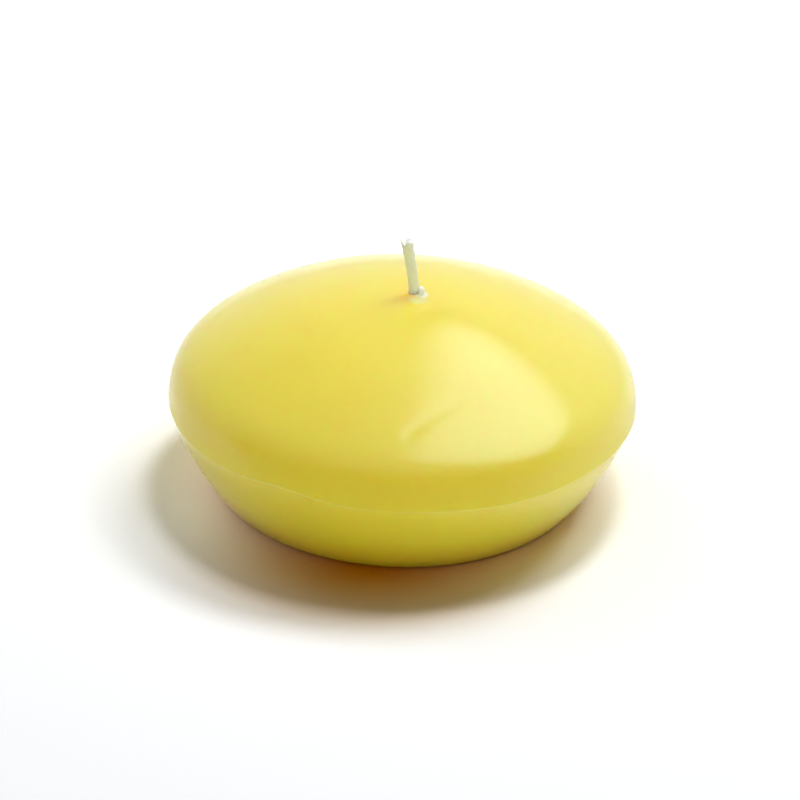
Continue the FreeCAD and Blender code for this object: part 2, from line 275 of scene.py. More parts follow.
def bead_rise(x, y):
    """The bead's height over the dome at (x, y): a drop with a soft skirt, and the thin run in front."""
    away = np.hypot(x - BEAD_X, (y - BEAD_Y) * BEAD_WIDTH) / BEAD_RADIUS
    drop = BEAD_HEIGHT * np.sqrt(np.clip(1 - away ** 4, 0, 1)) * smooth(*BEAD_SIDE, away)
    skirt = SKIRT_HEIGHT * np.exp(-(away / SKIRT_REACH) ** 2)
    run = np.hypot((x - RUN_X) / RUN_REACH[0], (y - RUN_Y) / RUN_REACH[1])
    return np.maximum(drop, skirt) + RUN_HEIGHT * np.exp(-run ** 2)


# The parting line isn't quite level: (bearing, spread in degrees, rise in mm)
PARTING_WAVES = (
    (-119.0, 11.0, 1.3),
    (-58.0, 24.0, -0.6),
    (62.0, 40.0, 0.35),
)
# Where the two mould halves missed each other and left more of a step: (bearing, spread, depth in mm)
PARTING_STEPS = (
    (-122.0, 12.0, 0.22),
    (-50.0, 16.0, 0.26),
    (30.0, 50.0, 0.2),
    (150.0, 35.0, 0.18),
)


def bumps(bearing, waves):
    """Sum of soft bumps round the rim, in mm, at each bearing in degrees."""
    total = np.zeros_like(bearing)
    for middle, spread, size in waves:
        away = (bearing - middle + 180.0) % 360.0 - 180.0
        total += size * np.exp(-(away / spread) ** 2)
    return total


# Round the wax, at each of a ring's points
BEARINGS = np.arange(WAX_SEGMENTS) * 360.0 / WAX_SEGMENTS - 180.0
COSINE = np.cos(np.radians(BEARINGS))
SINE = np.sin(np.radians(BEARINGS))
TILT = bumps(BEARINGS, PARTING_WAVES) * MM
MORE_STEP = bumps(BEARINGS, PARTING_STEPS) * MM
# 1 at the front, 0 at the back
AHEAD = smooth(*FRONT_SPREAD, np.abs((BEARINGS + 90.0 + 180.0) % 360.0 - 180.0))
# How much of the land's width is taken away
NARROW = RIM_LAND * (1 - FRONT_LAND) * AHEAD

# Rings round the wick turn into rings round the candle between these radii, on the dome and under the base
DOME_CENTRING = (4.0 * MM, 30.0 * MM)
BASE_CENTRING = (12.0 * MM, 38.0 * MM)
# Down to these distances over the rim, the dome doesn't follow the parting line at all, and follows it fully
TILT_RISES = (9.0 * MM, -0.8 * MM)
# The marks fade out between these heights over the rim
FOLD_RISES = (6.0 * MM, 12.0 * MM)
# The step's depth changes on this much of the flank, and this share of the flank's skew is gone at the step
STEP_REACH = 7.0 * MM
SKEW_LOSS = 0.55
# Slow unevenness of the poured surface, and of the base: (depth, length, seed) of each wave
POURED_WAVES = ((0.045 * MM, 17 * MM, 1.0), (0.012 * MM, 5.5 * MM, 2.0))
BASE_WAVE = (0.05 * MM, 9 * MM, 4.0)
# The share of the unevenness in each kind of row
UNEVEN = {"dome": 1.0, "side": 0.6, "flank": 1.0, "foot": 0.4, "base": 0.5, "bore": 0.0}
# It starts at these distances from the wick's axis and from the recess: from none to all of it
DOME_UNEVEN_FROM = (1.5 * MM, 7.0 * MM)
BASE_UNEVEN_FROM = (1.0 * MM, 6.0 * MM)
# The skin's way out is this much steeper than the way from the middle of the rim
SKIN_STEEPNESS = 1.6


def wax_rows():
    """The wax's section, from the axis over the dome and under the base to the neck's bore.

    Each row is (kind, radius, height, slimmer, lower), the last two being how it changes at the front.
    """
    rows = []

    def add(kind, radius, height=0.0, slimmer=0.0, lower=0.0):
        rows.append((kind, radius, height, slimmer, lower))

    for start, end, count in DOME_ROWS:
        for radius in np.linspace(start * MM, end * MM, count, endpoint=False):
            add("dome", radius)
    add("dome", DOME_END)
    side_start = np.searchsorted(SIDE_R, DOME_END)
    front_start = np.searchsorted(FRONT_R, DOME_END)
    last = len(SIDE_R) - 1
    for k in np.linspace(side_start + 2, last, SIDE_ROWS).astype(int):
        share = (k - side_start) / (last - side_start)
        front = front_start * (1 - share) + last * share
        slimmer = np.interp(front, np.arange(last + 1), FRONT_R) - SIDE_R[k]
        lower = np.interp(front, np.arange(last + 1), FRONT_Z) - SIDE_Z[k]
        add("side", SIDE_R[k], SIDE_Z[k], slimmer, lower)
    for t in steps(0, 1, LAND_ROWS):
        bulge = LAND_BULGE * math.sin(math.pi * t)
        add("side", RIM_RADIUS + bulge - RIM_DRAFT * t ** 2, RIM_HEIGHT - RIM_LAND * t)
    # the flank is an arc centred on the axis, and rounds into the flat base
    top = RIM_RADIUS - RIM_DRAFT - PARTING_STEP
    land_foot = RIM_HEIGHT - RIM_LAND
    centre = (top ** 2 + land_foot ** 2 - FOOT_RADIUS ** 2) / (2 * land_foot)
    bow = math.hypot(FOOT_RADIUS, centre)
    flat = math.sqrt((bow - FOOT_ROUNDING) ** 2 - (centre - FOOT_ROUNDING) ** 2)
    low = math.atan2(FOOT_ROUNDING - centre, flat)
    high = math.atan2(land_foot - STEP_DROP - centre, top)
    for t in np.linspace(0, 1, FLANK_ROWS):
        angle = high + (low - high) * t ** FLANK_CROWDING
        add("flank", bow * math.cos(angle), centre + bow * math.sin(angle))
    for angle in steps(low, -math.pi / 2, FOOT_ROWS):
        add("foot", flat + FOOT_ROUNDING * math.cos(angle), FOOT_ROUNDING + FOOT_ROUNDING * math.sin(angle))
    for radius in steps(flat, RECESS_RADIUS + RECESS_ROUNDING, BASE_ROWS):
        add("base", radius)
    # the tab's recess and the neck's bore
    for angle in steps(0, 1, EDGE_ROWS) * math.pi / 2:
        radius = RECESS_RADIUS + RECESS_ROUNDING * (1 - math.sin(angle))
        add("bore", radius, RECESS_ROUNDING * (1 - math.cos(angle)))
    add("bore", RECESS_RADIUS, RECESS_DEPTH)
    for radius in steps(RECESS_RADIUS, NECK_BORE_RADIUS, ROOF_ROWS):
        add("bore", radius, RECESS_DEPTH)
    for height in steps(RECESS_DEPTH, NECK_BORE_TOP, BORE_ROWS):
        add("bore", NECK_BORE_RADIUS, height)
    add("bore", CLOSING_RADIUS, NECK_BORE_TOP)
    return rows


def crown_shift(z):
    """How far the crown has moved left at this height."""
    return CROWN_SHIFT * smooth(RIM_HEIGHT, RIM_HEIGHT + SHIFT_RISE, z)


def dome_ring(radius):
    """A ring over the dome, with the folds, the lip, the dimple and the bead."""
    x = WICK_X * (1 - smooth(*DOME_CENTRING, radius)) + radius * COSINE
    y = radius * SINE
    z = crown_height(np.hypot(x, y)) - fold_depth(x, y)
    away = max(radius - (WICK_RADIUS - LIP_INSET), 0.0)
    lip = LIP_HEIGHT * math.exp(-(away / LIP_REACH) ** 1.5)
    lip -= DIMPLE_DEPTH * math.exp(-(away / DIMPLE_REACH) ** 2)
    z = z + lip * (1 + LIP_LEAN * np.cos(np.radians(BEARINGS - LIP_BEARING))) + bead_rise(x, y)
    return x - crown_shift(z), y, z


def side_ring(radius, height, slimmer, lower):
    """A ring down the shoulder, its wall and the land, which follow the parting line."""
    x = (radius + slimmer * AHEAD) * COSINE
    y = (radius + slimmer * AHEAD) * SINE
    share = float(smooth(RIM_HEIGHT + TILT_RISES[0], RIM_HEIGHT + TILT_RISES[1], height))
    z = height + lower * AHEAD
    z = z + TILT * share + NARROW * max(RIM_HEIGHT - height, 0.0) / RIM_LAND
    marked = float(smooth(RIM_HEIGHT + FOLD_RISES[0], RIM_HEIGHT + FOLD_RISES[1], height))
    z = z - fold_depth(x, y) * marked
    return x - crown_shift(z), y, z


def flank_ring(radius, height):
    """A ring down the flank, under the step and out to the left."""
    land_foot = RIM_HEIGHT - RIM_LAND
    share = float(smooth(0.0, land_foot, height))
    near = float(smooth(RIM_HEIGHT - STEP_REACH, land_foot, height))
    skew = FLANK_SKEW * np.clip(-COSINE, 0, 1)
    out = (PARTING_STEP - LEAST_STEP - MORE_STEP) * near + skew * (1 - SKEW_LOSS * share)
    return radius * COSINE + out * COSINE, radius * SINE + out * SINE, height + (TILT + NARROW) * share


def plain_ring(kind, radius, height):
    """A ring under the wax, round the candle's axis at the foot and round the wick's at the recess."""
    near = smooth(BASE_CENTRING[1], BASE_CENTRING[0], radius)
    centre = {"foot": 0.0, "base": WICK_X * near, "bore": WICK_X}[kind]
    return centre + radius * COSINE, radius * SINE, np.full(WAX_SEGMENTS, height)


def unevenness(point, wave):
    """The depth of a slow wave at a point."""
    depth, length, seed = wave
    return depth * (1 + noise.noise(point / length + Vector((seed, 2 * seed, -seed))))


def poured(ring, kind, radius):
    """The ring's points with the unevenness of the poured surface, or of the base."""
    loose = UNEVEN[kind]
    if kind == "dome":
        loose *= float(smooth(*DOME_UNEVEN_FROM, radius))
    if kind == "base":
        start, full = BASE_UNEVEN_FROM
        loose *= float(smooth(RECESS_RADIUS + start, RECESS_RADIUS + full, radius))
        return [point + Vector((0, 0, unevenness(point, BASE_WAVE) * loose)) for point in ring]
    if loose == 0.0:
        return ring
    shaped = []
    for point in ring:
        sunk = -sum(unevenness(point, wave) for wave in POURED_WAVES)
        away = Vector((point.x, point.y, (point.z - RIM_HEIGHT) * SKIN_STEEPNESS)).normalized()
        shaped.append(point + away * (sunk * loose))
    return shaped


def make_wax():
    """The poured wax: dome, lip, bead, parting line, flank, base, recess and bore in one closed skin."""
    rows = wax_rows()
    points = []
    for kind, radius, height, slimmer, lower in rows:
        if kind == "dome":
            x, y, z = dome_ring(radius)
        elif kind == "side":
            x, y, z = side_ring(radius, height, slimmer, lower)
        elif kind == "flank":
            x, y, z = flank_ring(radius, height)
        else:
            x, y, z = plain_ring(kind, radius, height)
        ring = [Vector(p) for p in zip(x.tolist(), y.tolist(), z.tolist())]
        points.extend(poured(ring, kind, radius))
    faces = inward_rings(len(rows), WAX_SEGMENTS)
    last = (len(rows) - 1) * WAX_SEGMENTS
    faces.append(tuple(range(WAX_SEGMENTS)))
    faces.append(tuple(last + i for i in reversed(range(WAX_SEGMENTS))))
    skin = new_mesh("wax", points, faces)
    # the land's upper and lower edges are crisp
    flank_start = [row[0] for row in rows].index("flank")
    crisp = (flank_start - 1 - LAND_ROWS, flank_start - 1)
    ends = np.zeros(len(skin.data.edges) * 2, np.int32)
    skin.data.edges.foreach_get("vertices", ends)
    rings = ends.reshape(-1, 2) // WAX_SEGMENTS
    skin.data.edges.foreach_set("use_edge_sharp", (rings[:, 0] == rings[:, 1]) & np.isin(rings[:, 0], crisp))
    return skin


# The wick: it runs straight up through the wax, bends to the left over an arc, and leans from there
BEND_START = APEX - 1.7 * MM
BEND_RADIUS = 42.0 * MM
WICK_LEAN = math.radians(10.3)
BEND_END = BEND_START + BEND_RADIUS * math.sin(WICK_LEAN)
# It follows the crown's shift between these heights
SHIFT_HEIGHTS = (12.0 * MM, 40.0 * MM)
# Its yarns, and how deep the braid's relief is on its side and at its tip
YARNS = 4
YARN_PITCH = 9.5 * MM
WEAVE = 0.35
YARN_SOFTNESS = 0.12
RELIEF = 0.085 * MM
TIP_RELIEF = 0.15 * MM
TIP_HEIGHT = wick_high.z - 0.3 * MM
TIP_LENGTH = 3.0 * MM
# Its thickness as a share of its CAD size, what the opening yarns add to it, and between which heights
SLIMNESS = 0.98
OPENING = 0.13
OPENING_HEIGHTS = (APEX + 1.0 * MM, TIP_HEIGHT - 2.0 * MM)
# The split in the cut end: its place across the wick, half width and depth
SPLIT_PLACE = -0.42 * MM
SPLIT_WIDTH = 0.36 * MM
SPLIT_DEPTH = 0.85 * MM
# The cut falls from the wick's left side to its middle, as much again to its right side, and further between
# two places near that side
CUT_SLANT = 0.12 * MM
CUT_FALL = 0.35 * MM
CUT_FALL_PLACES = (0.6 * MM, 1.15 * MM)
# How far the left half stands out, how much further right the other one does, both in mm, and where they part
SPLAY_LEFT = -0.2
SPLAY_GAP = 0.34
SPLAY_PLACES = (-0.7 * MM, 0.3 * MM)
# The wick mesh: points round it, the gap between its rings, rings up the tip, and rings over the cut as
# shares of its radius
WICK_AROUND = 64
WICK_STEP = 0.2 * MM
TIP_RINGS = 20
CUT_RINGS = (0.94, 0.85, 0.74, 0.62, 0.5, 0.38, 0.26, 0.14, 0.05)
CUT_ROUGHNESS = 0.14 * MM
CUT_GRAIN = 0.22 * MM
CUT_RADIUS = WICK_RADIUS * 0.96
# Loose fibres on the cut: they stand within a share of the wick's radius, and their roots start below the cut
FIBRES = 60
FIBRE_SIDES = 6
FIBRE_RINGS = 5
FIBRE_PLACES = 0.88
FIBRE_ROOT = 0.25 * MM
FIBRE_SPLAY = 0.9
# Their free lengths, the spreads of their leans and curls, and their radius and its taper, lengths in mm
FIBRE_LENGTHS = (0.04, 0.34)
FIBRE_LEAN = 0.2
FIBRE_CURL = 0.10
FIBRE_RADIUS = 0.055
FIBRE_TAPER = 0.03


def wick_x(z):
    """The x of the wick's middle line at a height."""
    foot = WICK_X - CROWN_SHIFT * float(smooth(*SHIFT_HEIGHTS, z))
    if z <= BEND_START:
        return foot
    if z < BEND_END:
        return foot - BEND_RADIUS * (1 - math.cos(math.asin((z - BEND_START) / BEND_RADIUS)))
    return foot - BEND_RADIUS * (1 - math.cos(WICK_LEAN)) - (z - BEND_END) * math.tan(WICK_LEAN)


def braid(turn, z):
    """Height of the braid's surface, 0 to 1: yarns wind both ways and pass over and under each other."""
    wind = TAU * z / YARN_PITCH
    over = WEAVE * math.cos(YARNS * wind)
    right = 0.5 + 0.5 * math.cos(YARNS * (turn - wind)) + over
    left = 0.5 + 0.5 * math.cos(YARNS * (turn + wind)) - over
    soft = YARN_SOFTNESS
    top = soft * math.log(math.exp(right / soft) + math.exp(left / soft))
    return (top - 0.5) / (0.5 + WEAVE + soft)


def swell(z):
    """The wick's thickness as a share of its CAD size: slim up to the crown, fuller where the yarns open."""
    return SLIMNESS + OPENING * float(smooth(*OPENING_HEIGHTS, z))


def cut_height(across):
    """Height where the wick's end was snipped: a thin high left side, a split, a broader right side."""
    split = SPLIT_DEPTH * math.exp(-((across - SPLIT_PLACE) / SPLIT_WIDTH) ** 2)
    slant = CUT_SLANT * (1 + across / WICK_RADIUS)
    fall = CUT_FALL * float(smooth(*CUT_FALL_PLACES, across))
    return TIP_HEIGHT - split - slant - fall


def splayed(across, near_tip):
    """How far the two halves of the split end stand apart."""
    right = float(smooth(*SPLAY_PLACES, across))
    return near_tip * (SPLAY_LEFT + SPLAY_GAP * right) * MM


def wall_point(turn, height, share):
    """A point on the wick's side; share runs from 0 at the tip's start to 1 at the cut."""
    relief = RELIEF + (TIP_RELIEF - RELIEF) * share
    radius = (WICK_RADIUS - relief * (1 - braid(turn, height))) * swell(height)
    across = radius * math.cos(turn)
    z = height
    if share > 0:
        tip_start = TIP_HEIGHT - TIP_LENGTH
        z = tip_start + (cut_height(across) - tip_start) * share
    return Vector((wick_x(z) + across + splayed(across, share * share), radius * math.sin(turn), z))


def cut_point(turn, inward):
    """A point on the rough cut face, at a share of the wick's radius."""
    radius = CUT_RADIUS * inward * swell(TIP_HEIGHT)
    across = radius * math.cos(turn)
    rough = noise.noise(Vector((across, radius * math.sin(turn), 0)) / CUT_GRAIN)
    z = cut_height(across) + CUT_ROUGHNESS * rough * (1 - inward ** 4)
    return Vector((wick_x(z) + across + splayed(across, 1.0), radius * math.sin(turn), z))


def fibre_points(rng):
    """Rings of points along one loose fibre, which stands on the cut and leans and curls a little."""
    turn = rng.random() * TAU
    radius = WICK_RADIUS * FIBRE_PLACES * math.sqrt(rng.random())
    across = radius * math.cos(turn)
    root_z = cut_height(across) - FIBRE_ROOT
    root_x = wick_x(root_z) + across + splayed(across, FIBRE_SPLAY)
    root = Vector((root_x, radius * math.sin(turn), root_z))
    length = FIBRE_ROOT + rng.uniform(*FIBRE_LENGTHS) * MM
    lean_x = -math.tan(WICK_LEAN) + rng.gauss(0, FIBRE_LEAN) + FIBRE_LEAN * across / WICK_RADIUS
    lean = Vector((lean_x, rng.gauss(0, FIBRE_LEAN), 1)).normalized()
    curl = Vector((rng.gauss(0, FIBRE_CURL), rng.gauss(0, FIBRE_CURL), 0)) * MM
    side = lean.cross(Vector((0, 1, 0))).normalized()
    out = side.cross(lean).normalized()
    points = []
    for k in range(FIBRE_RINGS):
        t = k / (FIBRE_RINGS - 1)
        centre = root + lean * (length * t) + curl * (t * t)
        thick = (FIBRE_RADIUS - FIBRE_TAPER * t) * MM
        for i in range(FIBRE_SIDES):
            angle = TAU * i / FIBRE_SIDES
            points.append(centre + side * (thick * math.cos(angle)) - out * (thick * math.sin(angle)))
    return points


def make_wick():
    """A round braid of cotton soaked in clear wax, as one closed skin, with loose fibres at its cut end."""
    points, uvs = [], []
    tip_start = TIP_HEIGHT - TIP_LENGTH
    levels = [(z, 0.0) for z in np.arange(wick_low.z, tip_start, WICK_STEP)]
    levels += [(tip_start + TIP_LENGTH * share, share) for share in np.linspace(0, 1, TIP_RINGS)]
    for z, share in levels:
        for i in range(WICK_AROUND):
            points.append(wall_point(TAU * i / WICK_AROUND, z, share))
            uvs.append((i / WICK_AROUND, z / MM))
    wall_points = len(points)
    for inward in CUT_RINGS:
        for i in range(WICK_AROUND):
            points.append(cut_point(TAU * i / WICK_AROUND, inward))
            uvs.append((i / WICK_AROUND, points[-1].z / MM))
    faces = upward_rings(len(levels) + len(CUT_RINGS), WICK_AROUND)
    rng = random.Random(5)
    along_fibre = [k / (FIBRE_RINGS - 1) for k in range(FIBRE_RINGS)]
    for _ in range(FIBRES):
        faces += upward_rings(FIBRE_RINGS, FIBRE_SIDES, first=len(points))
        points += fibre_points(rng)
        uvs += [(i / FIBRE_SIDES, v) for v in along_fibre for i in range(FIBRE_SIDES)]
    skin = new_mesh("wick_braid", points, faces, uvs)
    # the cut and the fibres have the second material
    for face in skin.data.polygons:
        if max(face.vertices) >= wall_points:
            face.material_index = 1
    return skin


# Shader nodes

# The noise factors between which a colour changes
RAMP_ENDS = (0.3, 0.7)


def node(tree, kind, inputs=None, **settings):
    """A node with its settings and unlinked inputs set."""
    made = tree.nodes.new(kind)
    for key, value in settings.items():
        setattr(made, key, value)
    set_inputs(made, inputs or {})
    return made


def set_inputs(made, inputs):
    """Constant numbers and colours on a node's own sockets."""
    for key, value in inputs.items():
        made.inputs[key].default_value = value


def link(tree, output, target):
    tree.links.new(output, target)


def new_material(name):
    """A new material, its node tree and its shader."""
    material = bpy.data.materials.new(name)
    material.use_nodes = True
    tree = material.node_tree
    return material, tree, tree.nodes["Principled BSDF"]


def object_place(tree):
    """The place on the object, in metres."""
    return node(tree, "ShaderNodeTexCoord").outputs["Object"]


def ramp(tree, source, low, high):
    """A colour that goes from low to high with a noise factor."""
    made = node(tree, "ShaderNodeValToRGB")
    for element, place, colour in zip(made.color_ramp.elements, RAMP_ENDS, (low, high)):
        element.position = place
        element.color = (*colour, 1.0)
    link(tree, source, made.inputs["Fac"])
    return made.outputs["Color"]


def fade(tree, source, start, end, low=0.0, high=1.0, kind="SMOOTHSTEP"):
    """A factor that goes from low, where the source is at start, to high, where it is at end."""
    ends = {"From Min": start, "From Max": end, "To Min": low, "To Max": high}
    made = node(tree, "ShaderNodeMapRange", ends, interpolation_type=kind)
    link(tree, source, made.inputs["Value"])
    return made.outputs["Result"]


def spread(tree, source, low, high):
    """Maps a factor from 0..1 to low..high."""
    return fade(tree, source, 0.0, 1.0, low, high, kind="LINEAR")


def measure(tree, kind, vector, other=None):
    """A number got from a vector: its LENGTH, its DISTANCE from another or its DOT_PRODUCT with another."""
    made = node(tree, "ShaderNodeVectorMath", operation=kind)
    link(tree, vector, made.inputs[0])
    if other is not None:
        made.inputs[1].default_value = other
    return made.outputs["Value"]


def height_of(tree, vector):
    """A vector's z."""
    made = node(tree, "ShaderNodeSeparateXYZ")
    link(tree, vector, made.inputs["Vector"])
    return made.outputs["Z"]


def mapped(tree, vector, scale, location=(0, 0, 0)):
    """A vector scaled and then moved."""
    made = node(tree, "ShaderNodeMapping", {"Scale": scale, "Location": location})
    link(tree, vector, made.inputs["Vector"])
    return made.outputs["Vector"]


def combine(tree, kind, first, second):
    """The sum, product or such of an output and another one or a number."""
    made = node(tree, "ShaderNodeMath", operation=kind)
    link(tree, first, made.inputs[0])
    if isinstance(second, float):
        made.inputs[1].default_value = second
    else:
        link(tree, second, made.inputs[1])
    return made.outputs["Value"]


def soft_noise(tree, place, scale, detail=2.0, stretch=(1, 1, 1)):
    """Noise over the object, in cycles a metre, longer along an axis whose stretch is small."""
    made = node(tree, "ShaderNodeTexNoise", {"Scale": scale, "Detail": detail})
    link(tree, mapped(tree, place, stretch), made.inputs["Vector"])
    return made.outputs["Fac"]


def bump(tree, height, distance, strength=1.0, below=None):
    """A bump's normal; below is the normal of another bump under it."""
    made = node(tree, "ShaderNodeBump", {"Distance": distance, "Strength": strength})
    link(tree, height, made.inputs["Height"])
    if below is not None:
        link(tree, below, made.inputs["Normal"])
    return made.outputs["Normal"]


def blend(tree, factor, below, colour):
    """The colour below, an output or a constant, turned to another one by a factor."""
    made = node(tree, "ShaderNodeMix", {"B": (*colour, 1.0)}, data_type="RGBA")
    link(tree, factor, made.inputs["Factor"])
    if isinstance(below, tuple):
        made.inputs["A"].default_value = (*below, 1.0)
    else:
        link(tree, below, made.inputs["A"])
    return made.outputs["Result"]


def mix_shaders(tree, factor, first, second, target):
    """Joins two shaders to a target: the first where the factor is 0, the second where it is 1."""
    made = node(tree, "ShaderNodeMixShader")
    link(tree, factor, made.inputs["Fac"])
    link(tree, first, made.inputs[1])
    link(tree, second, made.inputs[2])
    link(tree, made.outputs["Shader"], target)


# Materials

WAX_PALE = (0.915, 0.760, 0.043)
WAX_DEEP = (0.895, 0.735, 0.034)
# A painted warm glow on the flank's foot, for the light that came through the wax, up to this height and from
# the first to the second radius
FOOT_PAINTED_GLOW = (0.990, 0.560, 0.020)
PAINTED_GLOW_HEIGHT = 11.0 * MM
PAINTED_GLOW_RADII = (FOOT_RADIUS - 2.5 * MM, FOOT_RADIUS - 0.8 * MM)
# Painted light on the bead and the run: a near-white colour on the bead for the light that shines through it
# and for its gloss, and a pale painted highlight on the run: middle, reach, share and colour of each
RUN_PAINTED_HIGHLIGHT = ((RUN_X - CROWN_SHIFT, RUN_Y, APEX), 2.9 * MM, 0.35, (0.880, 0.915, 0.680))
BEAD_PAINTED_LIGHT = ((BEAD_X - CROWN_SHIFT, BEAD_Y, APEX + 0.8 * MM), 2.3 * MM, 1.0, (0.985, 0.980, 0.780))
# How far red, green and blue light go in the wax and in the bead, as shares of the longest way
WAX_DEPTHS = (1.0, 0.38, 0.05)
BEAD_DEPTHS = (0.08, 0.08, 0.05)
LONGEST_WAY = 0.04


def wax_material():
    """Dyed paraffin: translucent, softly glossy, with faint clouding, brush-fine streaks in the gloss, and
    painted light on the foot, the bead and the run.
    """
    material, tree, shader = new_material("yellow_wax")
    place = object_place(tree)
    body = ramp(tree, soft_noise(tree, place, 55.0, 3.0), WAX_DEEP, WAX_PALE)
    # painted warm glow: the flank's foot turns orange, for the light that came through the wax
    low = fade(tree, height_of(tree, place), PAINTED_GLOW_HEIGHT, 0.0)
    radius = measure(tree, "LENGTH", mapped(tree, place, (1, 1, 0)))
    painted_glow_ring = fade(tree, radius, *PAINTED_GLOW_RADII, kind="LINEAR")
    body = blend(tree, combine(tree, "MULTIPLY", low, painted_glow_ring), body, FOOT_PAINTED_GLOW)
    # painted light: the bead turns near white for the light through it and its gloss, and the run pale for a
    # highlight
    for middle, reach, share, colour in (RUN_PAINTED_HIGHLIGHT, BEAD_PAINTED_LIGHT):
        near = fade(tree, measure(tree, "DISTANCE", place, middle), reach, reach / 2, high=share)
        body = blend(tree, near, body, colour)
    link(tree, body, shader.inputs["Base Color"])
    # after the loop, near is the bead's factor
    link(tree, blend(tree, near, WAX_DEPTHS, BEAD_DEPTHS), shader.inputs["Subsurface Radius"])
    set_inputs(shader, {"Subsurface Weight": 1.0, "Subsurface Scale": LONGEST_WAY, "IOR": 1.46,
                        "Coat Weight": 0.8, "Coat IOR": 1.45, "Coat Roughness": 0.18})
    film = soft_noise(tree, place, 240.0, 4.0)
    link(tree, spread(tree, film, 0.46, 0.56), shader.inputs["Roughness"])
    streaks = soft_noise(tree, place, 420.0, 3.0, stretch=(0.16, 1.0, 1.0))
    grain = soft_noise(tree, place, 2600.0, 2.0)
    normal = bump(tree, streaks, 0.01 * MM)
    normal = bump(tree, grain, 0.0015 * MM, below=normal)
    link(tree, normal, shader.inputs["Normal"])
    link(tree, normal, shader.inputs["Coat Normal"])
    return material


def cotton_material():
    """Braided cotton primed with clear wax: fibre lines along the yarns under a dull gloss."""
    material, tree, shader = new_material("waxed_cotton")
    patch = soft_noise(tree, object_place(tree), 900.0, 3.0)
    colour = ramp(tree, patch, (0.74, 0.80, 0.58), (0.81, 0.86, 0.67))
    link(tree, colour, shader.inputs["Base Color"])
    set_inputs(shader, {"Subsurface Weight": 1.0, "Subsurface Radius": (1.0, 0.9, 0.7),
                        "Subsurface Scale": 0.004, "IOR": 1.44})
    link(tree, spread(tree, patch, 0.36, 0.55), shader.inputs["Roughness"])
    along = node(tree, "ShaderNodeTexCoord").outputs["UV"]
    fibres = soft_noise(tree, along, 24.0, 3.0, stretch=(1.0, 0.02, 1.0))
    link(tree, bump(tree, fibres, 0.03 * MM, 0.5), shader.inputs["Normal"])
    return material


def fibre_material():
    """Bare cotton fibres at the cut, nearly white."""
    material, tree, shader = new_material("bare_cotton")
    patch = soft_noise(tree, object_place(tree), 3000.0, 2.0)
    colour = ramp(tree, patch, (0.92, 0.94, 0.86), (0.97, 0.98, 0.93))
    link(tree, colour, shader.inputs["Base Color"])
    link(tree, spread(tree, patch, 0.6, 0.8), shader.inputs["Roughness"])
    return material


def steel_material():
    """Tin-plated sheet: bright, finely rolled one way, with faint scuffs."""
    material, tree, shader = new_material("tinned_steel")
    place = object_place(tree)
    rolled = soft_noise(tree, place, 2200.0, 3.0, stretch=(0.03, 1.0, 1.0))
    dull = soft_noise(tree, place, 260.0, 4.0)
    link(tree, ramp(tree, dull, (0.55, 0.55, 0.53), (0.70, 0.70, 0.68)), shader.inputs["Base Color"])
    set_inputs(shader, {"Metallic": 1.0})
    link(tree, spread(tree, dull, 0.22, 0.42), shader.inputs["Roughness"])
    link(tree, bump(tree, rolled, 0.03 * MM, 0.4), shader.inputs["Normal"])
    return material


# The candle's three pieces

wax = make_wax()
wax.data.materials.append(wax_material())
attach(wax, "root")
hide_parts("wax_body")

wick = make_wick()
wick.data.materials.append(cotton_material())
wick.data.materials.append(fibre_material())
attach(wick, "root")
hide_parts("wick")

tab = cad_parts["wick_tab"]
tab.data.materials.clear()
tab.data.materials.append(steel_material())


# The table, the lamps and the studio round them

# The table's colour where it lights other things, and where it's looked at: over 1, so that it shows white
FLOOR_HALF = 3.0
FLOOR_LIGHTING = (0.93, 0.93, 0.93)
FLOOR_SEEN = (1.23, 1.25, 1.28)
# By the candle's foot, a painted shadow with a painted warm glow, for the light that came through the wax:
# the spot's middle, half widths and colour
PAINTED_SHADOW_PLACE = (-0.0065, -0.0393)
PAINTED_SHADOW_SIZE = (0.050, 0.037)
FLOOR_PAINTED_SHADOW_GLOW = (0.61, 0.28, 0.004)

# The soft box on the right: its corners as seen from the candle, (bearing, height) in degrees, and how
# softly the side from each corner to the next one fades, in metres
KEY_DISTANCE = 0.9
KEY_CORNERS = ((80.5, 47.3), (76.4, 40.2), (32.6, 41.6), (-22.0, 10.0), (-88.0, 58.0))
KEY_FADES = (0.10, 0.03, 0.20, 0.60, 0.36)
KEY_STRENGTH = 5.6
KEY_COLOUR = (0.74, 0.93, 1.0)
# Its brightness at its last corner, over the front, and at its second one, behind the candle
KEY_DIMMING = (0.6, 1.0)
# How far its mesh reaches past its lit shape
KEY_MARGIN = 1.35

# The dark screen round the front: bearings and heights of its ends, and the heights between which it clears
FLAG_DISTANCE = 1.3
FLAG_BEARINGS = (-178.0, -2.0)
FLAG_HEIGHTS = (0.5, 62.0)
FLAG_CLEARS = (12.0, 58.0)
FLAG_COLUMNS = 24
FLAG_ROWS = 8

# Lamps for the shading and the shadow: bearing and height in degrees, width in metres, and the brightness
# that each gives a white surface facing it
LAMP_DISTANCE = 1.1
LAMPS = (
    (60.0, 72.0, 0.24, 0.31),
    (35.0, 52.0, 0.24, 0.235),
    (58.0, 56.0, 0.24, 0.215),
    (132.0, 36.0, 0.6, 0.16),
)
# The fill lamp, kept off the table, so that it lights the candle's front and not its shadow
FILL = (-66.0, 25.0, 1.0, 0.375)

# The side of the studio that shines, and how brightly
WORLD_SIDE = (-0.95, 0.0, 0.31)
WORLD_STRENGTH = 0.55


def direction(bearing, height):
    """The unit vector towards a bearing and height in degrees."""
    b, h = math.radians(bearing), math.radians(height)
    return Vector((math.cos(h) * math.cos(b), math.cos(h) * math.sin(b), math.sin(h)))


